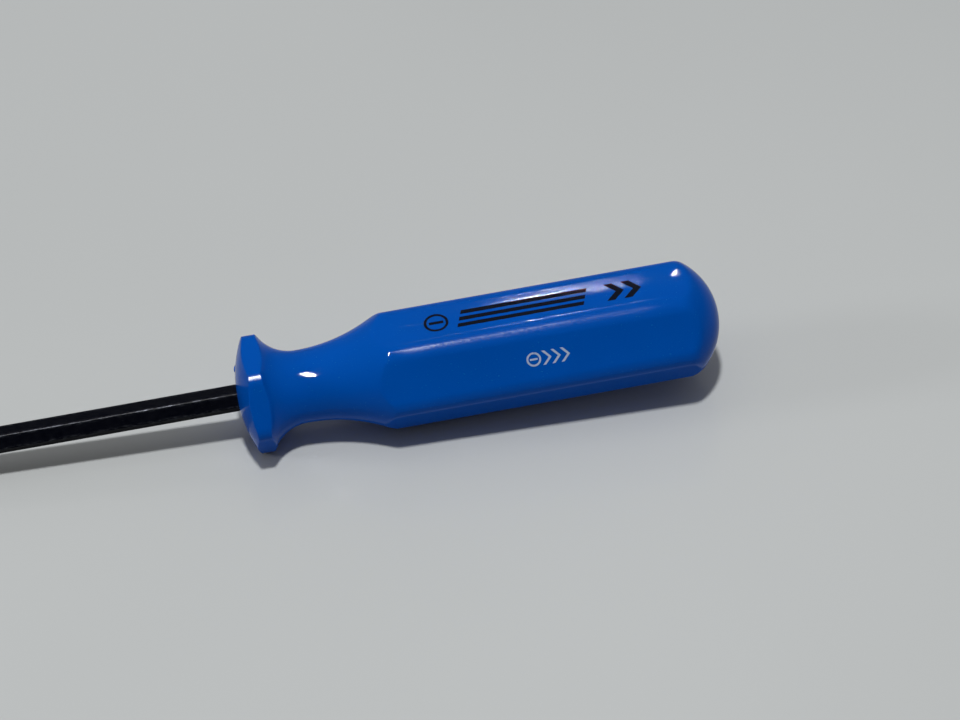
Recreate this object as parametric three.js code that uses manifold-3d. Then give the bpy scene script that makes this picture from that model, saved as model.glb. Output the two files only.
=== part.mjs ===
// Slotted screwdriver: a moulded hexagonal handle on a black hexagonal steel bar.
//
// Millimetres, +Z up. +X runs along the tool from the blade tip to the butt, and the origin is
// the centre of the tip's end face. The bar and the handle share their flats: one faces up and
// one faces down, and two corners point along +Y and -Y.

import * as THREE from 'three';
import { mergeVertices } from 'three/addons/utils/BufferGeometryUtils.js';
import Module from 'manifold-3d';

const wasm = await Module();
wasm.setup();

// Blade: one forged and ground bar of hexagonal steel.
const BAR_ACROSS_FLATS = 6.35;
const BAR_EXPOSED = 254;
const BAR_EDGE = 0.45;
const TIP_WIDTH = 8;
const TIP_THICKNESS = 1.2;
const TIP_SHOULDER_WIDTH = 8.7;
const TIP_SHOULDER_AT = 10;
const TIP_PARALLEL = 2.5;
const TIP_LENGTH = 26;
const TIP_HOLLOW = 1.25;
const TIP_STEPS = 16;

// Tang: the end of the bar inside the handle, with two pairs of wings that stop it turning.
const TANG_LENGTH = 75;
const TANG_END_CHAMFER = 0.8;
const WING_DEPTHS = [50, 66];
const WING_BASE = 8;
const WING_CREST = 4;
const WING_RISE = 1.3;
const WING_THICKNESS = 2.2;

// Handle: a turned outline cut by a hexagonal prism with rounded corners.
const HANDLE_LENGTH = 127;
const HANDLE_ACROSS_FLATS = 28.575;
const HANDLE_CORNER_RADIUS = 5.4;
const TURNED_RADIUS = 16.2;
const GUARD_RADIUS = 15.8;
const GUARD_CORNER_RADIUS = 0.8;
const GUARD_DOME_RADIUS = 34;
const RIM_BACK = 7.3;
const WAIST_RADIUS = 9.6;
const WAIST_START = 16.8;
const WAIST_END = 17.4;
const FLARE_FRONT_RADIUS = 10.3;
const FLARE_FRONT_TURN = 60;
const FLARE_REAR_RADIUS = 43;
const FLARE_REAR_TURN = 25.2;
const BUTT_DOME_RADIUS = 18.3;
const FIT_GAP = 0.3;

const TURNED_SEGMENTS = 48;
const CORNER_SEGMENTS = 6;

const BAR_HALF_FLATS = BAR_ACROSS_FLATS / 2;
const BAR_HALF_CORNERS = BAR_ACROSS_FLATS / Math.sqrt(3);

function radians(degrees) {
  return degrees * Math.PI / 180;
}

// A closed geometry becomes a solid that can be cut and joined.
function toSolid(geometry) {
  const bare = geometry.clone();
  bare.deleteAttribute('normal');
  bare.deleteAttribute('uv');
  const merged = mergeVertices(bare, 1e-5);
  const index = merged.index.array;
  const corners = [];
  for (let i = 0; i < index.length; i += 3) {
    const [a, b, c] = [index[i], index[i + 1], index[i + 2]];
    if (a !== b && b !== c && c !== a) corners.push(a, b, c);
  }
  const mesh = new wasm.Mesh({
    numProp: 3,
    vertProperties: new Float32Array(merged.attributes.position.array),
    triVerts: new Uint32Array(corners),
  });
  mesh.merge();
  return new wasm.Manifold(mesh);
}

function toGeometry(solid) {
  const mesh = solid.getMesh();
  const geometry = new THREE.BufferGeometry();
  geometry.setAttribute('position', new THREE.BufferAttribute(mesh.vertProperties, 3));
  geometry.setIndex(new THREE.BufferAttribute(mesh.triVerts, 1));
  geometry.computeVertexNormals();
  return geometry;
}

// Points on a circular arc in an outline, both ends included. Angles are in degrees.
function arcPoints(centreX, centreY, radius, from, to, segments) {
  const points = [];
  for (let i = 0; i <= segments; i += 1) {
    const angle = radians(from + (to - from) * i / segments);
    points.push(new THREE.Vector2(centreX + radius * Math.cos(angle), centreY + radius * Math.sin(angle)));
  }
  return points;
}

// A hexagon with rounded corners, one flat facing +Y of the outline and one facing -Y.
function hexagonShape(acrossFlats, cornerRadius, segments) {
  const cornerReach = (acrossFlats / 2 - cornerRadius) / Math.cos(radians(30));
  const points = [];
  for (let corner = 0; corner < 6; corner += 1) {
    const angle = corner * 60;
    const centreX = cornerReach * Math.cos(radians(angle));
    const centreY = cornerReach * Math.sin(radians(angle));
    points.push(...arcPoints(centreX, centreY, cornerRadius, angle - 30, angle + 30, segments));
  }
  return new THREE.Shape(points);
}

// An outline drawn across the tool is extruded along +X, starting at x = from.
function extrudeAlongX(shape, from, length, steps = 1) {
  const geometry = new THREE.ExtrudeGeometry(shape, { depth: length, steps, bevelEnabled: false });
  geometry.rotateX(Math.PI / 2);
  geometry.rotateZ(Math.PI / 2);
  geometry.translate(from, 0, 0);
  return geometry;
}

// Half width and half thickness of the blade at a distance x from its end.
function tipHalfWidth(x) {
  if (x <= TIP_SHOULDER_AT) {
    const spread = THREE.MathUtils.smoothstep(x, 0, TIP_SHOULDER_AT);
    return THREE.MathUtils.lerp(TIP_WIDTH, TIP_SHOULDER_WIDTH, spread) / 2;
  }
  const fade = THREE.MathUtils.smoothstep(x, TIP_SHOULDER_AT, TIP_LENGTH);
  return THREE.MathUtils.lerp(TIP_SHOULDER_WIDTH / 2, BAR_HALF_CORNERS, fade);
}

function tipHalfThickness(x) {
  const rise = THREE.MathUtils.clamp((x - TIP_PARALLEL) / (TIP_LENGTH - TIP_PARALLEL), 0, 1);
  return THREE.MathUtils.lerp(TIP_THICKNESS / 2, BAR_HALF_FLATS, rise ** TIP_HOLLOW);
}

// The hexagonal bar is drawn out to a flat tip: each point of its section moves with the section's
// edge, which turns from a hexagon at the bar into a rectangle at the end.
function forgeTip(geometry) {
  const position = geometry.attributes.position;
  for (let i = 0; i < position.count; i += 1) {
    const x = position.getX(i);
    const y = position.getY(i);
    const z = position.getZ(i);
    const height = tipHalfThickness(x);
    const squareness = (BAR_HALF_FLATS - height) / (BAR_HALF_FLATS - TIP_THICKNESS / 2);
    const level = Math.abs(z) / BAR_HALF_FLATS;
    const barEdge = BAR_HALF_CORNERS * (1 - level / 2);
    const tipEdge = tipHalfWidth(x) * (1 - level * (1 - squareness) / 2);
    position.setXYZ(i, x, y * tipEdge / barEdge, z * height / BAR_HALF_FLATS);
  }
  return geometry;
}

// A pair of wings on the tang, grown by a clearance where it cuts their pocket in the handle.
function wingPair(depth, clearance) {
  const middle = BAR_EXPOSED + depth;
  const reach = BAR_HALF_CORNERS + WING_RISE + clearance;
  const base = WING_BASE / 2 + clearance;
  const crest = WING_CREST / 2 + clearance;
  const root = BAR_HALF_CORNERS - WING_THICKNESS / 2;
  const outline = new THREE.Shape([
    new THREE.Vector2(middle - base, -root),
    new THREE.Vector2(middle - crest, -reach),
    new THREE.Vector2(middle + crest, -reach),
    new THREE.Vector2(middle + base, -root),
    new THREE.Vector2(middle + base, root),
    new THREE.Vector2(middle + crest, reach),
    new THREE.Vector2(middle - crest, reach),
    new THREE.Vector2(middle - base, root),
  ]);
  const thickness = WING_THICKNESS + 2 * clearance;
  const geometry = new THREE.ExtrudeGeometry(outline, { depth: thickness, bevelEnabled: false });
  geometry.translate(0, 0, -thickness / 2);
  return toSolid(geometry);
}

// The tang's end is turned down to a small chamfer, so that it starts easily in the handle.
function tangEndCone() {
  const end = BAR_EXPOSED + TANG_LENGTH;
  const reach = BAR_HALF_CORNERS + TANG_END_CHAMFER;
  const profile = [
    new THREE.Vector2(0, TIP_LENGTH),
    new THREE.Vector2(reach, TIP_LENGTH),
    new THREE.Vector2(reach, end - 2 * TANG_END_CHAMFER),
    new THREE.Vector2(BAR_HALF_FLATS - TANG_END_CHAMFER, end),
    new THREE.Vector2(0, end),
  ];
  return toSolid(turned(profile, TURNED_SEGMENTS / 2));
}

// A profile of (radius, distance along X) points is turned about the X axis.
function turned(profile, segments) {
  const geometry = new THREE.LatheGeometry(profile, segments);
  geometry.rotateZ(-Math.PI / 2);
  return geometry;
}

function bladeGeometry() {
  const section = hexagonShape(BAR_ACROSS_FLATS, BAR_EDGE, 2);
  const tip = toSolid(forgeTip(extrudeAlongX(section, 0, TIP_LENGTH, TIP_STEPS)));
  const barLength = BAR_EXPOSED + TANG_LENGTH - TIP_LENGTH;
  let bar = toSolid(extrudeAlongX(section, TIP_LENGTH, barLength));
  bar = bar.intersect(tangEndCone());
  for (const depth of WING_DEPTHS) bar = bar.add(wingPair(depth, 0));
  return toGeometry(tip.add(bar));
}

// The handle's turned outline, from the apex of the guard to the end of the butt.
function handleProfile() {
  const along = (x, radius) => new THREE.Vector2(radius, BAR_EXPOSED + x);
  const profile = [];

  const domeTurn = Math.asin(GUARD_RADIUS / GUARD_DOME_RADIUS) * 180 / Math.PI;
  for (const p of arcPoints(GUARD_DOME_RADIUS, 0, GUARD_DOME_RADIUS, 180, 180 - domeTurn, 6)) {
    profile.push(along(p.x, p.y));
  }
  profile.push(along(RIM_BACK, GUARD_RADIUS));

  const frontCentre = WAIST_RADIUS + FLARE_FRONT_RADIUS;
  const frontFrom = 270 - FLARE_FRONT_TURN;
  for (const p of arcPoints(WAIST_START, frontCentre, FLARE_FRONT_RADIUS, frontFrom, 270, 9)) {
    profile.push(along(p.x, p.y));
  }

  const rearCentre = WAIST_RADIUS + FLARE_REAR_RADIUS;
  const rearTo = 270 + FLARE_REAR_TURN;
  const rear = arcPoints(WAIST_END, rearCentre, FLARE_REAR_RADIUS, 270, rearTo, 7);
  for (const p of rear) profile.push(along(p.x, p.y));

  const flareEnd = rear[rear.length - 1];
  const coneLength = (TURNED_RADIUS - flareEnd.y) / Math.tan(radians(FLARE_REAR_TURN));
  profile.push(along(flareEnd.x + coneLength, TURNED_RADIUS));

  const buttCentre = HANDLE_LENGTH - BUTT_DOME_RADIUS;
  const buttFrom = Math.asin(TURNED_RADIUS / BUTT_DOME_RADIUS) * 180 / Math.PI;
  for (const p of arcPoints(buttCentre, 0, BUTT_DOME_RADIUS, buttFrom, 0, 11)) {
    profile.push(along(p.x, p.y));
  }

  profile[0].x = 0;
  profile[profile.length - 1].x = 0;
  return profile;
}

// The blind hole for the tang, with a pocket round each pair of wings.
function boreSolid() {
  const overrun = 5;
  const section = hexagonShape(BAR_ACROSS_FLATS + 2 * FIT_GAP, BAR_EDGE + FIT_GAP, 2);
  let bore = toSolid(extrudeAlongX(section, BAR_EXPOSED - overrun, TANG_LENGTH + FIT_GAP + overrun));
  for (const depth of WING_DEPTHS) bore = bore.add(wingPair(depth, FIT_GAP));
  return bore;
}

// A length of hexagonal prism that gives the handle its flats, from x to x measured from the guard.
function flatsSolid(cornerRadius, from, to) {
  const section = hexagonShape(HANDLE_ACROSS_FLATS, cornerRadius, CORNER_SEGMENTS);
  return toSolid(extrudeAlongX(section, BAR_EXPOSED + from, to - from));
}

// The guard's sharp corners are turned down, the grip's are rounded. The prisms meet at the waist.
function handleGeometry() {
  const overrun = 1;
  const outline = toSolid(turned(handleProfile(), TURNED_SEGMENTS));
  const guardFlats = flatsSolid(GUARD_CORNER_RADIUS, -overrun, WAIST_END);
  const gripFlats = flatsSolid(HANDLE_CORNER_RADIUS, WAIST_START, HANDLE_LENGTH + overrun);
  return toGeometry(outline.intersect(guardFlats.add(gripFlats)).subtract(boreSolid()));
}

const blackOxide = new THREE.MeshStandardMaterial({ color: 0x16181c, roughness: 0.4, metalness: 0.8 });
const bluePlastic = new THREE.MeshStandardMaterial({ color: 0x0057b2, roughness: 0.18, metalness: 0 });

const blade = new THREE.Mesh(bladeGeometry(), blackOxide);
blade.name = 'blade';

const handle = new THREE.Mesh(handleGeometry(), bluePlastic);
handle.name = 'handle';

const screwdriver = new THREE.Group();
screwdriver.add(blade, handle);

export default screwdriver;
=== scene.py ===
"""The looks of a slotted screwdriver: a gloss blue moulded handle on a black oxide hexagonal bar.

Everything is in the frame of the CAD model: +X from the tip to the butt, +Z out of the upper flat.
Sizes are in millimetres and are turned into metres where a mesh is made.
"""
import math

import bmesh
import bpy
from mathutils import Matrix, Vector, noise


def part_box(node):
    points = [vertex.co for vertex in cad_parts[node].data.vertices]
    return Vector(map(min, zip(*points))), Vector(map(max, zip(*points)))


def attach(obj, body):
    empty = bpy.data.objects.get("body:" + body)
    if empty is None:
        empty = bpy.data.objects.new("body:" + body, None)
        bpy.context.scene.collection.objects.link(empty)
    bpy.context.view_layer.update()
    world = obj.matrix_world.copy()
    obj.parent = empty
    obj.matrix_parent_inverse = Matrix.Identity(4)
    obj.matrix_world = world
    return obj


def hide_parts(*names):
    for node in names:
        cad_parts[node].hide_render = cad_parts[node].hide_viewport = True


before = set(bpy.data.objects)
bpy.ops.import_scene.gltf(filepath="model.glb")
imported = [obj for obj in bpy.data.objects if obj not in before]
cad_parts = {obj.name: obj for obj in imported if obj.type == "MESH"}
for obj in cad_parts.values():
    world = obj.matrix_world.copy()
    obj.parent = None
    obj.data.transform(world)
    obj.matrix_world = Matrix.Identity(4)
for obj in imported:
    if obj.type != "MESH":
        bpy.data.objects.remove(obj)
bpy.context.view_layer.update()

MM = 0.001

# Steel bar
BAR_FLATS = 6.35
BAR_CORNER = 0.45
BAR_EXPOSED = 254.0
TIP_LENGTH = 26.0
TIP_PARALLEL = 2.5
TIP_HOLLOW = 1.25
TIP_WIDTH = 8.0
TIP_THICKNESS = 1.2
TIP_SHOULDER_WIDTH = 8.7
TIP_SHOULDER_AT = 10.0
TIP_EDGE = 0.12
TANG_LENGTH = 75.0
TANG_CHAMFER = 0.8
WING_DEPTHS = (50.0, 66.0)
WING_BASE = 8.0
WING_CREST = 4.0
WING_RISE = 1.25

# Handle, measured from the apex of the guard's front
HANDLE_LENGTH = 127.0
HANDLE_FLATS = 28.575
HANDLE_CORNER = 5.4
SKIN = 0.05
OPEN_RADIUS = 17.0
GUARD_RADIUS = 15.75
GUARD_CORNER = 0.8
GUARD_DOME = 34.0
RIM_BACK = 7.3
WAIST_RADIUS = 9.6
WAIST_START = 16.8
WAIST_END = 17.4
FLARE_FRONT = 10.3
FLARE_FRONT_TURN = 60.0
FLARE_REAR = 43.0
FLARE_REAR_TURN = 25.2
GRIP_END = 112.0
BUTT_DOME = 18.3
RIM_ROUND = 0.5
SHOULDER_ROUND = 0.35
BUTT_ROUND = 0.9
BORE_GAP = 0.05
BORE_LIP = 0.2
DIRECTIONS = 288

# What a real moulding adds: sunk flats, waves, parting lines and a trimmed gate.
# A pair says where a change begins and where it is complete, along the handle.
SINK = 0.125
SINK_START = (44.0, 54.0)
SINK_END = (115.0, 121.0)
WAVE = 0.018
WAVE_ALONG = 0.06
WAVE_ACROSS = 0.09
PARTING_HEIGHT = 0.035
PARTING_ANGLE = 0.5
PARTING_START = (3.2, 4.4)
PARTING_END = (121.0, 125.5)
PLAIN_RADIUS = 8.5
NUB_ANGLE = 45.0
NUB_RADIUS = 7.5
NUB_HEIGHT = 0.3
NUB_WIDTH = 0.8
NUB_REACH = 3.0

# How scuffed the handle is, from 0 to 1, and where that begins and ends
GRIP_WEAR = 0.45
GRIP_WEAR_START = (41.0, 46.0)
GRIP_WEAR_END = (106.0, 114.0)
GUARD_WEAR = 0.55
GUARD_WEAR_END = (8.0, 9.0)
TOP_WEAR = 0.16
TOP_WEAR_START = (80.0, 92.0)
TOP_WEAR_END = (106.0, 110.0)

# Colours, linear
BLUE_DEEP = (0.0, 0.079, 0.435)
BLUE_LIGHT = (0.0, 0.086, 0.465)
BLUE_DUSTY = (0.03, 0.17, 0.50)
OXIDE_DEEP = (0.0006, 0.0010, 0.0036)
OXIDE_LIGHT = (0.0016, 0.0022, 0.0052)
WORN_STEEL = (0.060, 0.064, 0.075)
BLACK_INK = (0.004, 0.006, 0.012)
BLACK_INK_WORN = (0.0, 0.06, 0.28)
PALE_INK = (0.42, 0.52, 0.66)
PALE_INK_WORN = (0.02, 0.16, 0.46)
FLOOR_DARK = (0.582, 0.603, 0.603)
FLOOR_LIGHT = (0.611, 0.632, 0.632)


def smoothstep(x, low, high):
    t = min(max((x - low) / (high - low), 0.0), 1.0)
    return t * t * (3.0 - 2.0 * t)


def mix(a, b, t):
    return a + (b - a) * t


def blend_min(a, b, width):
    """The smaller of two values, with the corner between them rounded over a width."""
    near = max(width - abs(a - b), 0.0) / width
    return min(a, b) - near * near * width / 4.0


def hexagon_radius(angle, across_flats, corner):
    """Distance from the axis to a rounded hexagon's edge. Angle 0 is +Y, on a corner; degrees."""
    off_flat = abs((angle % 60.0) - 30.0)
    half_flat = (across_flats / 2 - corner) * math.tan(math.radians(30))
    tangent = math.degrees(math.atan2(half_flat, across_flats / 2))
    if off_flat <= tangent:
        return across_flats / 2 / math.cos(math.radians(off_flat))
    reach = (across_flats / 2 - corner) / math.cos(math.radians(30))
    off_corner = math.radians(30.0 - off_flat)
    return reach * math.cos(off_corner) + math.sqrt(corner**2 - (reach * math.sin(off_corner)) ** 2)


def wing_rise(x):
    """How far the tang's two side corners stand out at x, measured from the tip."""
    rise = 0.0
    for depth in WING_DEPTHS:
        off = abs(x - BAR_EXPOSED - depth)
        rise = max(rise, 1.0 - smoothstep(off, WING_CREST / 2, WING_BASE / 2))
    return WING_RISE * rise


def wing_share(angle):
    """How much of the wings' rise a direction round the axis gets: all of it along +Y and -Y."""
    off_side = min(angle % 180.0, 180.0 - angle % 180.0)
    return 1.0 - smoothstep(off_side, 8.0, 32.0)


def mesh_object(name, vertices, faces, material):
    mesh = bpy.data.meshes.new(name)
    mesh.from_pydata([Vector(v) * MM for v in vertices], [], faces)
    mesh.validate()
    mesh.update()
    for polygon in mesh.polygons:
        polygon.use_smooth = True
    made = bpy.data.objects.new(name, mesh)
    bpy.context.collection.objects.link(made)
    made.data.materials.append(material)
    return made


def mark_wear(made, worn):
    """Stores how worn each vertex is, from 0 to 1, for the material to read."""
    layer = made.data.attributes.new("worn", "FLOAT", "POINT")
    layer.data.foreach_set("value", worn)


def skin_rings(rings):
    """Joins rings of equally many points into a closed body, with a point at each end."""
    count = len(rings[0])
    vertices = [sum((Vector(p) for p in rings[0]), Vector()) / count]
    for ring in rings:
        vertices.extend(ring)
    vertices.append(sum((Vector(p) for p in rings[-1]), Vector()) / count)
    last = len(vertices) - 1
    faces = []
    for i in range(count):
        j = (i + 1) % count
        faces.append((0, 1 + j, 1 + i))
        for ring in range(len(rings) - 1):
            a = 1 + ring * count
            faces.append((a + i, a + j, a + count + j, a + count + i))
        end = 1 + (len(rings) - 1) * count
        faces.append((end + i, end + j, last))
    return vertices, faces


# ---------------------------------------------------------------- materials


def new_material(name):
    material = bpy.data.materials.new(name)
    material.use_nodes = True
    tree = material.node_tree
    tree.nodes.clear()
    output = tree.nodes.new("ShaderNodeOutputMaterial")
    shader = tree.nodes.new("ShaderNodeBsdfPrincipled")
    tree.links.new(shader.outputs["BSDF"], output.inputs["Surface"])
    return material, tree, shader


def object_coordinates(tree, stretch=(1.0, 1.0, 1.0)):
    """Object coordinates in millimetres, squeezed along an axis to draw a pattern out along it."""
    source = tree.nodes.new("ShaderNodeTexCoord")
    mapping = tree.nodes.new("ShaderNodeMapping")
    mapping.inputs["Scale"].default_value = [s / MM for s in stretch]
    tree.links.new(source.outputs["Object"], mapping.inputs["Vector"])
    return mapping.outputs["Vector"]


def noise_node(tree, vector, scale, detail=3.0, roughness=0.5):
    node = tree.nodes.new("ShaderNodeTexNoise")
    node.inputs["Scale"].default_value = scale
    node.inputs["Detail"].default_value = detail
    node.inputs["Roughness"].default_value = roughness
    tree.links.new(vector, node.inputs["Vector"])
    return node.outputs["Fac"]


def ramp(tree, value, low, high, from_value=0.0, to_value=1.0):
    node = tree.nodes.new("ShaderNodeMapRange")
    node.inputs["From Min"].default_value = low
    node.inputs["From Max"].default_value = high
    node.inputs["To Min"].default_value = from_value
    node.inputs["To Max"].default_value = to_value
    tree.links.new(value, node.inputs["Value"])
    return node.outputs["Result"]


def maths(tree, operation, first, second):
    node = tree.nodes.new("ShaderNodeMath")
    node.operation = operation
    for socket, value in zip(node.inputs, (first, second)):
        if isinstance(value, float):
            socket.default_value = value
        else:
            tree.links.new(value, socket)
    return node.outputs["Value"]


def mix_colour(tree, factor, first, second):
    node = tree.nodes.new("ShaderNodeMix")
    node.data_type = "RGBA"
    tree.links.new(factor, node.inputs["Factor"])
    for socket, value in ((node.inputs["A"], first), (node.inputs["B"], second)):
        if isinstance(value, tuple):
            socket.default_value = (*value, 1.0)
        else:
            tree.links.new(value, socket)
    return node.outputs["Result"]


def bump(tree, height, distance, strength=1.0, below=None):
    node = tree.nodes.new("ShaderNodeBump")
    node.inputs["Strength"].default_value = strength
    node.inputs["Distance"].default_value = distance * MM
    tree.links.new(height, node.inputs["Height"])
    if below is not None:
        tree.links.new(below, node.inputs["Normal"])
    return node.outputs["Normal"]


def scratches(tree, density, turn):
    """Fine straight hairlines: noise drawn out along one direction and cut to thin threads."""
    source = tree.nodes.new("ShaderNodeTexCoord")
    turned = tree.nodes.new("ShaderNodeMapping")
    turned.inputs["Rotation"].default_value = [math.radians(a) for a in turn]
    turned.inputs["Scale"].default_value = (0.03 / MM, 1.0 / MM, 1.0 / MM)
    tree.links.new(source.outputs["Object"], turned.inputs["Vector"])
    value = noise_node(tree, turned.outputs["Vector"], density, 2.0, 0.6)
    return ramp(tree, value, 0.66, 0.72)


def blue_plastic():
    material, tree, shader = new_material("blue_plastic")
    place = object_coordinates(tree)
    cloud = noise_node(tree, place, 0.045, 4.0)
    base = mix_colour(tree, ramp(tree, cloud, 0.3, 0.7), BLUE_DEEP, BLUE_LIGHT)
    speck = ramp(tree, noise_node(tree, place, 2.6, 1.0), 0.735, 0.76)
    dusty = mix_colour(tree, speck, base, BLUE_DUSTY)
    tree.links.new(dusty, shader.inputs["Base Color"])

    smear = noise_node(tree, place, 0.16, 5.0, 0.65)
    rough = ramp(tree, smear, 0.3, 0.75, 0.03, 0.06)
    hair = maths(tree, "MAXIMUM", scratches(tree, 1.7, (10, 0, 24)), scratches(tree, 2.1, (0, 15, -31)))
    rough = maths(tree, "ADD", rough, maths(tree, "MULTIPLY", hair, 0.10))
    handled = tree.nodes.new("ShaderNodeAttribute")
    handled.attribute_name = "worn"
    scuff = ramp(tree, noise_node(tree, place, 1.8, 4.0, 0.7), 0.35, 0.65, 0.12, 0.40)
    rough = maths(tree, "ADD", rough, maths(tree, "MULTIPLY", handled.outputs["Fac"], scuff))
    tree.links.new(rough, shader.inputs["Roughness"])

    flow = bump(tree, noise_node(tree, place, 0.30, 2.0), 0.010, 0.5)
    grain = bump(tree, noise_node(tree, place, 7.0, 2.0), 0.0003, 0.5, flow)
    cut = bump(tree, maths(tree, "MULTIPLY", hair, -1.0), 0.002, 0.6, grain)
    rub = maths(tree, "MULTIPLY", handled.outputs["Fac"], noise_node(tree, place, 2.4, 2.0))
    tree.links.new(bump(tree, rub, 0.012, 0.8, cut), shader.inputs["Normal"])
    shader.inputs["IOR"].default_value = 1.48
    shader.inputs["Specular IOR Level"].default_value = 0.04
    return material


def black_oxide():
    material, tree, shader = new_material("black_oxide_steel")
    place = object_coordinates(tree)
    drawn = object_coordinates(tree, (0.04, 1.0, 1.0))
    mottle = noise_node(tree, place, 0.55, 5.0, 0.65)
    lines = noise_node(tree, drawn, 3.2, 4.0, 0.6)
    oxide = mix_colour(tree, ramp(tree, mottle, 0.3, 0.7), OXIDE_DEEP, OXIDE_LIGHT)

    worn = tree.nodes.new("ShaderNodeAttribute")
    worn.attribute_name = "worn"
    rubbed = noise_node(tree, object_coordinates(tree, (0.35, 1.0, 1.0)), 1.5, 6.0, 0.75)
    edge = maths(tree, "MULTIPLY", worn.outputs["Fac"], ramp(tree, rubbed, 0.46, 0.66))
    flecks = noise_node(tree, object_coordinates(tree, (0.6, 1.0, 1.0)), 2.8, 2.0)
    bare = maths(tree, "MAXIMUM", edge, maths(tree, "MULTIPLY", ramp(tree, flecks, 0.70, 0.74), 0.15))
    colour = mix_colour(tree, bare, oxide, WORN_STEEL)
    tree.links.new(colour, shader.inputs["Base Color"])
    tree.links.new(ramp(tree, bare, 0.0, 1.0, 0.0, 0.3), shader.inputs["Metallic"])

    rough = ramp(tree, mottle, 0.3, 0.7, 0.30, 0.46)
    rough = maths(tree, "ADD", rough, ramp(tree, lines, 0.3, 0.7, -0.04, 0.06))
    tree.links.new(rough, shader.inputs["Roughness"])
    drag = bump(tree, lines, 0.005, 0.5)
    pits = bump(tree, noise_node(tree, place, 4.0, 3.0), 0.003, 0.4, drag)
    tree.links.new(pits, shader.inputs["Normal"])
    shader.inputs["IOR"].default_value = 1.45
    shader.inputs["Specular IOR Level"].default_value = 0.02
    return material


def print_film(name, ink, worn_to, low, high, roughness):
    """Hot-stamped ink: a thin film that has flaked where the noise is high."""
    material, tree, shader = new_material(name)
    place = object_coordinates(tree)
    flake = noise_node(tree, place, 1.6, 6.0, 0.7)
    colour = mix_colour(tree, ramp(tree, flake, low, high), ink, worn_to)
    tree.links.new(colour, shader.inputs["Base Color"])
    matt = noise_node(tree, place, 2.5, 4.0, 0.6)
    tree.links.new(ramp(tree, matt, 0.3, 0.7, roughness, roughness + 0.15), shader.inputs["Roughness"])
    tree.links.new(bump(tree, matt, 0.008, 0.6), shader.inputs["Normal"])
    shader.inputs["Specular IOR Level"].default_value = 0.01
    return material


def pale_surface():
    material, tree, shader = new_material("studio_floor")
    place = object_coordinates(tree)
    tone = ramp(tree, noise_node(tree, place, 0.004, 3.0), 0.3, 0.7)
    colour = mix_colour(tree, tone, FLOOR_DARK, FLOOR_LIGHT)
    tree.links.new(colour, shader.inputs["Base Color"])
    haze = noise_node(tree, place, 0.02, 4.0)
    tree.links.new(ramp(tree, haze, 0.3, 0.7, 0.16, 0.22), shader.inputs["Roughness"])
    shader.inputs["IOR"].default_value = 1.5
    return material


BLUE = blue_plastic()
BLACK = black_oxide()
INK = print_film("black_print", BLACK_INK, BLACK_INK_WORN, 0.66, 0.72, 0.30)
PALE = print_film("pale_print", PALE_INK, PALE_INK_WORN, 0.58, 0.72, 0.35)


# ---------------------------------------------------------------- handle


def arc(centre_x, centre_r, radius, start, end, step):
    """Points (x, r) about `step` apart on an arc, with the angles in degrees."""
    count = max(2, round(abs(math.radians(end - start)) * radius / step))
    points = []
    for i in range(count + 1):
        angle = math.radians(mix(start, end, i / count))
        points.append((centre_x + radius * math.cos(angle), centre_r + radius * math.sin(angle)))
    return points


def straight(start, end, step):
    count = max(1, round(math.dist(start, end) / step))
    return [(mix(start[0], end[0], i / count), mix(start[1], end[1], i / count)) for i in range(count + 1)]


def handle_outline():
    """The turned outline as (x, r, edge rounding) from the bore's lip to near the end of the butt."""
    fine = 0.14
    lip = hexagon_radius(0, BAR_FLATS + 2 * BORE_GAP, BAR_CORNER) + 1.6

    def dome_angle(radius):
        return 180 - math.degrees(math.asin(radius / GUARD_DOME))

    front = arc(GUARD_DOME, 0, GUARD_DOME, dome_angle(lip), dome_angle(13.2), 0.33)
    front += arc(GUARD_DOME, 0, GUARD_DOME, dome_angle(13.2), dome_angle(GUARD_RADIUS), 0.11)[1:]
    front += straight(front[-1], (RIM_BACK, GUARD_RADIUS), 0.15)[1:]

    turn = 270 - FLARE_FRONT_TURN
    flare = arc(WAIST_START, WAIST_RADIUS + FLARE_FRONT, FLARE_FRONT, turn, 270, 0.28)
    front += straight(front[-1], flare[0], 0.1)[1:]
    front += flare[1:]

    rear = arc(WAIST_END, WAIST_RADIUS + FLARE_REAR, FLARE_REAR, 270, 270 + FLARE_REAR_TURN, 0.4)
    slope = math.tan(math.radians(FLARE_REAR_TURN))
    cone_end = (rear[-1][0] + (OPEN_RADIUS - rear[-1][1]) / slope, OPEN_RADIUS)
    rear += straight(rear[-1], cone_end, fine)[1:]
    rear += straight(cone_end, (GRIP_END, OPEN_RADIUS), 1.4)[1:]

    centre = HANDLE_LENGTH - BUTT_DOME
    start = math.degrees(math.asin(OPEN_RADIUS / BUTT_DOME))
    close = math.degrees(math.asin(12.5 / BUTT_DOME))
    butt = arc(centre, 0, BUTT_DOME, start, close, fine)
    butt += arc(centre, 0, BUTT_DOME, close, 1.0, 0.4)[1:]
    rear += straight((GRIP_END, OPEN_RADIUS), butt[0], fine)[1:]

    outline = [(x, r, RIM_ROUND) for x, r in front]
    outline += [(x, r, SHOULDER_ROUND) for x, r in rear]
    outline += [(x, r, BUTT_ROUND) for x, r in butt[1:]]
    return outline


def handle_angles():
    """Directions round the axis, with extra ones beside the parting lines and the guard's corners."""
    angles = [360.0 * i / DIRECTIONS for i in range(DIRECTIONS)]
    for side in (0.0, 180.0):
        for off in (0.3, 0.6, 0.9):
            angles += [(side + off) % 360.0, (side - off) % 360.0]
    for corner in range(6):
        for off in (2.1, 2.9, 3.3):
            angles += [(60.0 * corner + off) % 360.0, (60.0 * corner - off) % 360.0]
    return sorted(angles)


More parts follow.
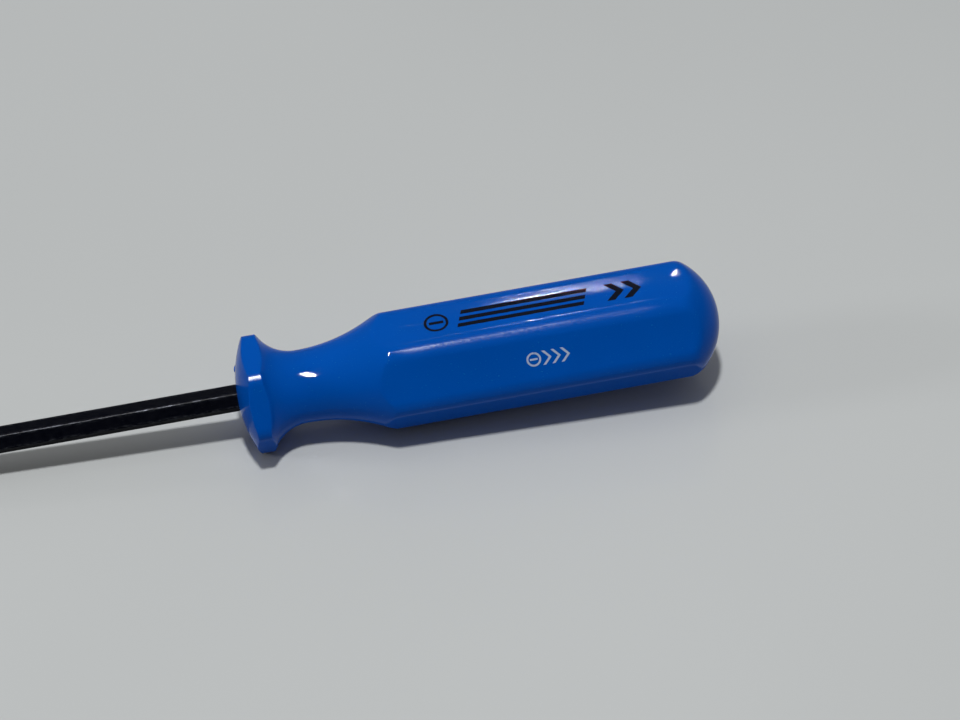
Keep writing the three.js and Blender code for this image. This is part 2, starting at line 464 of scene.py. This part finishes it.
def surface_offset(x, angle, radius):
    """How far the skin departs from the plain shape: sunk flats, slow waves, parting lines."""
    off_flat = math.radians((angle % 60.0) - 30.0)
    half_flat = (HANDLE_FLATS / 2 - HANDLE_CORNER) * math.tan(math.radians(30))
    from_middle = min(abs(radius * math.sin(off_flat)) / half_flat, 1.0)
    on_grip = smoothstep(x, *SINK_START) * (1.0 - smoothstep(x, *SINK_END))
    offset = -SINK * (1.0 - from_middle**2) * on_grip
    turn = math.radians(angle)
    across = radius * WAVE_ACROSS
    spot = Vector((x * WAVE_ALONG, across * math.cos(turn), across * math.sin(turn)))
    offset += WAVE * (noise.noise(spot) - 0.5)
    off_side = min(angle % 180.0, 180.0 - angle % 180.0)
    line = math.exp(-((off_side / PARTING_ANGLE) ** 2))
    fade = smoothstep(x, *PARTING_START) * (1.0 - smoothstep(x, *PARTING_END))
    return offset + PARTING_HEIGHT * line * fade


def on_axis_plane(x, radius, angle):
    turn = math.radians(angle)
    return (BAR_EXPOSED + x, radius * math.cos(turn), radius * math.sin(turn))


def nub_height(radius, angle):
    """A trimmed moulding gate stands a little proud of the guard's front."""
    turn = math.radians(angle - NUB_ANGLE)
    distance = math.sqrt(radius**2 + NUB_RADIUS**2 - 2 * radius * NUB_RADIUS * math.cos(turn))
    return NUB_HEIGHT * (1.0 - smoothstep(distance, 0.5 * NUB_WIDTH, 1.5 * NUB_WIDTH))


def bore_rings(angles):
    """From the blind end of the bore out to the lip at the guard's front."""
    flats = BAR_FLATS + 2 * BORE_GAP
    depth = TANG_LENGTH + 0.4
    stations = [depth - 0.1 * i for i in range(2)]
    stations += [depth - 0.5 - 0.5 * i for i in range(int(2 * depth) - 4)]
    stations += [1.5, 0.8, 0.45]
    rings = []
    for x in stations:
        ring = []
        for angle in angles:
            radius = hexagon_radius(angle, flats, BAR_CORNER + BORE_GAP)
            radius += 1.1 * wing_rise(BAR_EXPOSED + x) * wing_share(angle)
            ring.append(on_axis_plane(x, radius, angle))
        rings.append(ring)
    return rings


def lip_rings(angles, first_radius):
    """A rounded lip, and then rings that turn the hexagonal mouth into the dome's circles."""
    rings = []
    flats = BAR_FLATS + 2 * BORE_GAP
    for share in (0.0, 0.25, 0.5, 0.75, 1.0):
        turn = math.radians(90 * share)
        ring = []
        for angle in angles:
            mouth = hexagon_radius(angle, flats, BAR_CORNER + BORE_GAP)
            radius = mouth + BORE_LIP * (1 - math.cos(turn))
            dome = GUARD_DOME - math.sqrt(GUARD_DOME**2 - radius**2)
            ring.append(on_axis_plane(dome + BORE_LIP * (1 - math.sin(turn)), radius, angle))
        rings.append(ring)
    for share in (0.3, 0.65):
        ring = []
        for angle in angles:
            mouth = hexagon_radius(angle, flats, BAR_CORNER + BORE_GAP) + BORE_LIP
            radius = mix(mouth, first_radius, share)
            ring.append(on_axis_plane(GUARD_DOME - math.sqrt(GUARD_DOME**2 - radius**2), radius, angle))
        rings.append(ring)
    return rings


def hand_wear(x, angle):
    """The grip's corners and its top far edge are scuffed by hands, the guard's corners a little."""
    off_flat = abs((angle % 60.0) - 30.0)
    on_grip = smoothstep(x, *GRIP_WEAR_START) * (1.0 - smoothstep(x, *GRIP_WEAR_END))
    grip = GRIP_WEAR * smoothstep(off_flat, 19.0, 22.0) * on_grip
    guard = GUARD_WEAR * smoothstep(off_flat, 22.0, 25.0) * (1.0 - smoothstep(x, *GUARD_WEAR_END))
    on_top = smoothstep(angle, 60.0, 68.0) * (1.0 - smoothstep(angle, 84.0, 92.0))
    top = TOP_WEAR * smoothstep(x, *TOP_WEAR_START) * (1.0 - smoothstep(x, *TOP_WEAR_END)) * on_top
    return max(grip, guard, top)


def make_handle():
    angles = handle_angles()
    outline = handle_outline()
    across = HANDLE_FLATS - 2 * SKIN
    guard_edge = [hexagon_radius(angle, across, GUARD_CORNER) for angle in angles]
    grip_edge = [hexagon_radius(angle, across, HANDLE_CORNER) for angle in angles]
    rings = bore_rings(angles)
    rings += lip_rings(angles, outline[0][1])
    worn = [0.0] * (1 + len(rings) * len(angles))
    for x, turned, rounding in outline:
        ring = []
        edge = guard_edge if x < WAIST_START else grip_edge
        for angle, flat in zip(angles, edge):
            radius = blend_min(turned, flat, rounding)
            if turned > PLAIN_RADIUS:
                radius += surface_offset(x, angle, radius)
            lift = nub_height(radius, angle) if x < NUB_REACH else 0.0
            ring.append(on_axis_plane(x - lift, radius, angle))
            worn.append(hand_wear(x, angle))
        rings.append(ring)
    worn.append(0.0)
    vertices, faces = skin_rings(rings)
    made = mesh_object("moulded_handle", vertices, faces, BLUE)
    mark_wear(made, worn)
    return made


# ---------------------------------------------------------------- blade


def tip_half_width(x):
    if x <= TIP_SHOULDER_AT:
        return mix(TIP_WIDTH, TIP_SHOULDER_WIDTH, smoothstep(x, 0.0, TIP_SHOULDER_AT)) / 2
    return mix(TIP_SHOULDER_WIDTH / 2, BAR_FLATS / math.sqrt(3), smoothstep(x, TIP_SHOULDER_AT, TIP_LENGTH))


def tip_half_thickness(x):
    rise = min(max((x - TIP_PARALLEL) / (TIP_LENGTH - TIP_PARALLEL), 0.0), 1.0)
    return mix(TIP_THICKNESS / 2, BAR_FLATS / 2, rise**TIP_HOLLOW)


def bar_section():
    """(y, z, worn) round the bar's hexagon. worn is 1 on the rounded corners."""
    reach = (BAR_FLATS / 2 - BAR_CORNER) / math.cos(math.radians(30))
    arc_steps = 8
    flat_steps = 6
    corners = []
    for corner in range(6):
        middle = math.radians(60 * corner)
        points = []
        for i in range(arc_steps + 1):
            turn = middle + math.radians(mix(-30, 30, i / arc_steps))
            y = reach * math.cos(middle) + BAR_CORNER * math.cos(turn)
            z = reach * math.sin(middle) + BAR_CORNER * math.sin(turn)
            points.append((y, z, 1.0))
        corners.append(points)
    section = []
    for corner in range(6):
        section += corners[corner]
        start = corners[corner][-1]
        end = corners[(corner + 1) % 6][0]
        for i in range(1, flat_steps):
            share = i / flat_steps
            section.append((mix(start[0], end[0], share), mix(start[1], end[1], share), 0.0))
    return section


def forged(x, y, z, inset):
    """Where a point of the bar's section goes at x, once the tip is drawn out flat."""
    half_flats = BAR_FLATS / 2
    half_corners = BAR_FLATS / math.sqrt(3)
    if x < TIP_LENGTH:
        height = tip_half_thickness(x)
        squareness = (half_flats - height) / (half_flats - TIP_THICKNESS / 2)
        level = abs(z) / half_flats
        bar_edge = half_corners * (1 - level / 2)
        tip_edge = tip_half_width(x) * (1 - level * (1 - squareness) / 2)
        y *= tip_edge / bar_edge * (1 - inset / tip_edge)
        z *= height / half_flats * (1 - inset / height)
    else:
        angle = math.degrees(math.atan2(z, y)) % 360.0
        radius = math.hypot(y, z)
        grown = radius + wing_rise(x) * wing_share(angle)
        grown -= max(0.0, x - (BAR_EXPOSED + TANG_LENGTH - TANG_CHAMFER))
        y *= grown / radius
        z *= grown / radius
    return (x, y, z)


def blade_stations():
    """(x, inset) along the blade. The first few insets round the edges of the tip's end face."""
    stations = []
    for turn in (0, 30, 60, 90):
        angle = math.radians(turn)
        stations.append((TIP_EDGE * (1 - math.cos(angle)), TIP_EDGE * (1 - math.sin(angle))))
    end = BAR_EXPOSED + TANG_LENGTH
    for start, stop, step in (
        (0.5, TIP_LENGTH, 0.4),
        (TIP_LENGTH, BAR_EXPOSED, 4.0),
        (BAR_EXPOSED, end - TANG_CHAMFER, 0.8),
    ):
        count = math.ceil((stop - start) / step)
        stations += [(mix(start, stop, i / count), 0.0) for i in range(count)]
    return stations + [(end - TANG_CHAMFER, 0.0), (end, 0.0)]


def make_blade():
    section = bar_section()
    stations = blade_stations()
    rings = []
    worn = [0.0]
    for x, inset in stations:
        rings.append([forged(x, y, z, inset) for y, z, _ in section])
        near_tip = 1.0 - smoothstep(x, 0.0, 1.6)
        taper_edges = 1.0 - 0.45 * smoothstep(x, 2.0, 40.0)
        worn += [max(near_tip * 0.8, edge * taper_edges) for _, _, edge in section]
    worn.append(0.0)
    vertices, faces = skin_rings(rings)
    made = mesh_object("forged_blade", vertices, faces, BLACK)
    mark_wear(made, worn)
    return made


# ---------------------------------------------------------------- printed marks

FILM = 0.02
FILM_ROOT = 0.04
TOP_MARK_START = 53.8
SIDE_MARK_MIDDLE = 80.4


def rounded_bar(middle, length, height, corner, slant=0.0):
    """A bar's outline, with rounded corners, its ends leaning by `slant` over its height."""
    points = []
    for side_u, side_v, start in ((1, -1, -90), (1, 1, 0), (-1, 1, 90), (-1, -1, 180)):
        for i in range(5):
            turn = math.radians(start + 90 * i / 4)
            u = side_u * (length / 2 - corner) + corner * math.cos(turn)
            v = side_v * (height / 2 - corner) + corner * math.sin(turn)
            points.append((middle + u + slant * v / height, v))
    return points


def moved(outline, along, up):
    return [(u + along, v + up) for u, v in outline]


def circle(middle, radius, count=48):
    turns = [2 * math.pi * i / count for i in range(count)]
    return [(middle + radius * math.cos(t), radius * math.sin(t)) for t in turns]


def chevron(middle, height, arm, thickness):
    """An arrow head's outline that points along the tool."""
    half = height / 2
    return [
        (middle - arm, -half),
        (middle - arm + thickness, -half),
        (middle + thickness, 0.0),
        (middle - arm + thickness, half),
        (middle - arm, half),
        (middle, 0.0),
    ]


def closer_points(outline, step=0.8):
    """The same outline with points at most `step` apart."""
    points = []
    for i, start in enumerate(outline):
        end = outline[(i + 1) % len(outline)]
        count = max(1, math.ceil(math.dist(start, end) / step))
        for k in range(count):
            points.append((mix(start[0], end[0], k / count), mix(start[1], end[1], k / count)))
    return points


def on_flat(along, up, flat_angle, lift):
    """A point over the handle's flat: along the tool from the guard, up across the flat."""
    turn = math.radians(flat_angle)
    distance = HANDLE_FLATS / 2 - SKIN
    y = distance * math.cos(turn) + up * math.sin(turn)
    z = distance * math.sin(turn) - up * math.cos(turn)
    angle = math.degrees(math.atan2(z, y)) % 360.0
    radius = math.hypot(y, z)
    radius += surface_offset(along, angle, radius) + lift
    return Vector(on_axis_plane(along, radius, angle)) * MM


def film_object(name, shapes, flat_angle, material):
    """A print: each shape is a list of outlines, the outer one first and then its holes."""
    mesh = bmesh.new()
    for shape in shapes:
        edges = []
        for outline in shape:
            ring = [mesh.verts.new(on_flat(u, v, flat_angle, FILM)) for u, v in closer_points(outline)]
            edges += [mesh.edges.new((ring[i - 1], ring[i])) for i in range(len(ring))]
        filled = bmesh.ops.triangle_fill(mesh, use_beauty=True, edges=edges)
        faces = [g for g in filled["geom"] if isinstance(g, bmesh.types.BMFace)]
        grown = bmesh.ops.extrude_face_region(mesh, geom=faces)
        turn = math.radians(flat_angle)
        down = Vector((0, -math.cos(turn), -math.sin(turn))) * (FILM + FILM_ROOT) * MM
        for vertex in (g for g in grown["geom"] if isinstance(g, bmesh.types.BMVert)):
            vertex.co += down
    bmesh.ops.recalc_face_normals(mesh, faces=mesh.faces)
    data = bpy.data.meshes.new(name)
    mesh.to_mesh(data)
    mesh.free()
    made = bpy.data.objects.new(name, data)
    bpy.context.collection.objects.link(made)
    made.data.materials.append(material)
    return made


def make_top_mark():
    """A generic mark: a slotted screw head, three slanted stripes and two arrow heads."""
    shapes = [[circle(TOP_MARK_START, 3.2), circle(TOP_MARK_START, 2.5)]]
    shapes.append([rounded_bar(TOP_MARK_START, 3.8, 0.9, 0.2)])
    stripe = rounded_bar(TOP_MARK_START + 22.5, 33.0, 1.35, 0.1, 0.4)
    for up in (2.3, 0.0, -2.3):
        shapes.append([moved(stripe, 0.3 * up, up)])
    for middle in (TOP_MARK_START + 47.0, TOP_MARK_START + 51.5):
        shapes.append([chevron(middle, 6.2, 2.8, 2.2)])
    return film_object("black_mark", shapes, 90, INK)


def make_side_mark():
    """A small pale mark: a slotted screw head and three arrow heads."""
    head = SIDE_MARK_MIDDLE - 3.7
    shapes = [[circle(head, 1.9), circle(head, 1.4)]]
    shapes.append([rounded_bar(head, 2.0, 0.5, 0.1)])
    for along in (0.2, 2.6, 5.0):
        shapes.append([chevron(SIDE_MARK_MIDDLE + along, 3.8, 1.7, 0.75)])
    return film_object("pale_mark", shapes, 150, PALE)


handle = make_handle()
blade = make_blade()
marks = (make_top_mark(), make_side_mark())

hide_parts("handle")
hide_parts("blade")
for piece in (handle, blade, *marks):
    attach(piece, "root")


# ---------------------------------------------------------------- stage, light and camera

GUARD_FRONT = 3.6
FLOOR_SIZE = 6000.0
VIEW_PIVOT = (317.76, -0.88, -1.04)
VIEW_ELEVATION = 44.8
VIEW_YAW = -4.0
VIEW_ROLL = -7.24
VIEW_DISTANCE = 1000.0
LENS = 144.4
KEY_RADIANCE = 410.0
LEFT_RADIANCE = 12.0
ROOM_LOW = 0.02
ROOM_HIGH = 0.30


def make_floor():
    """The tool lies on the bar's front end and on the guard, so the floor slopes a little to it."""
    guard_low = -(HANDLE_FLATS / 2 - SKIN)
    slope = (guard_low + BAR_FLATS / 2) / (BAR_EXPOSED + GUARD_FRONT - TIP_LENGTH)
    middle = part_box("handle")[0][0] / MM
    half = FLOOR_SIZE / 2
    vertices = []
    for x, y in ((-half, -half), (half, -half), (half, half), (-half, half)):
        z = -BAR_FLATS / 2 + slope * (middle + x - TIP_LENGTH)
        vertices.append((middle + x, y, z))
    floor = mesh_object("studio_floor", vertices, [(0, 1, 2, 3)], pale_surface())


def view_axes():
    """The camera's right, up and backward directions."""
    elevation, yaw, roll = (math.radians(a) for a in (VIEW_ELEVATION, VIEW_YAW, VIEW_ROLL))
    back = Vector((
        math.sin(yaw) * math.cos(elevation),
        -math.cos(yaw) * math.cos(elevation),
        math.sin(elevation),
    ))
    level = Vector((0, 0, 1)).cross(back).normalized()
    upright = back.cross(level)
    right = level * math.cos(roll) + upright * math.sin(roll)
    up = upright * math.cos(roll) - level * math.sin(roll)
    return right, up, back


def make_camera():
    right, up, back = view_axes()
    data = bpy.data.cameras.new("camera")
    data.lens = LENS
    data.sensor_width = 36.0
    data.clip_start = 0.01
    data.clip_end = 20.0
    camera = bpy.data.objects.new("camera", data)
    turn = Matrix((right, up, back)).transposed().to_4x4()
    place = (Vector(VIEW_PIVOT) + back * VIEW_DISTANCE) * MM
    camera.matrix_world = Matrix.Translation(place) @ turn
    bpy.context.collection.objects.link(camera)
    bpy.context.scene.camera = camera


def area_light(name, away, distance, size, radiance):
    """A lamp (width, height) that faces the handle. away is the direction from handle to lamp."""
    away = Vector(away).normalized()
    data = bpy.data.lights.new(name, "AREA")
    data.shape = "RECTANGLE"
    data.size = size[0] * MM
    data.size_y = size[1] * MM
    data.energy = radiance * math.pi * data.size * data.size_y
    lamp = bpy.data.objects.new(name, data)
    lamp.location = (Vector(VIEW_PIVOT) + away * distance) * MM
    lamp.rotation_mode = "QUATERNION"
    lamp.rotation_quaternion = away.to_track_quat("Z", "Y")
    bpy.context.collection.objects.link(lamp)
    return lamp


def make_glints():
    """Small lamps that show only as highlights on the tool."""
    tool = bpy.data.collections.new("tool")
    for piece in (handle, blade, *marks):
        tool.objects.link(piece)
    for name, away, distance, size, radiance in (
        ("spot_a", (0.100, 0.681, 0.726), 2200.0, (22.0, 22.0), 800.0),
        ("spot_b", (0.072, 0.672, 0.737), 2200.0, (22.0, 10.0), 5500.0),
        ("key_glint", (-0.105, -0.225, 0.97), 1700.0, (170.0, 500.0), 1000.0),
    ):
        glint = area_light(name, away, distance, size, radiance)
        glint.visible_diffuse = False
        glint.light_linking.receiver_collection = tool


def make_room_light():
    for name, away, distance, size, radiance in (
        ("key", (0.02, -0.19, 0.98), 1700.0, (115.0, 115.0), KEY_RADIANCE),
        ("left_lamp", (-0.91, 0.05, 0.40), 1600.0, (320.0, 320.0), LEFT_RADIANCE),
    ):
        lamp = area_light(name, away, distance, size, radiance)
        lamp.visible_glossy = False


def make_world():
    """A dim grey room, lighter overhead and behind the tool than on the near side."""
    world = bpy.data.worlds.new("studio")
    world.use_nodes = True
    tree = world.node_tree
    coordinates = tree.nodes.new("ShaderNodeTexCoord")
    height = tree.nodes.new("ShaderNodeVectorMath")
    height.operation = "DOT_PRODUCT"
    height.inputs[1].default_value = (0.0, 0.45, 0.89)
    tree.links.new(coordinates.outputs["Generated"], height.inputs[0])
    strength = ramp(tree, height.outputs["Value"], -0.2, 1.0, ROOM_LOW, ROOM_HIGH)
    background = tree.nodes["Background"]
    background.inputs["Color"].default_value = (1.0, 1.0, 1.0, 1.0)
    tree.links.new(strength, background.inputs["Strength"])
    bpy.context.scene.world = world


make_floor()
make_glints()
make_camera()
make_room_light()
make_world()
bpy.context.scene.view_settings.view_transform = "Standard"
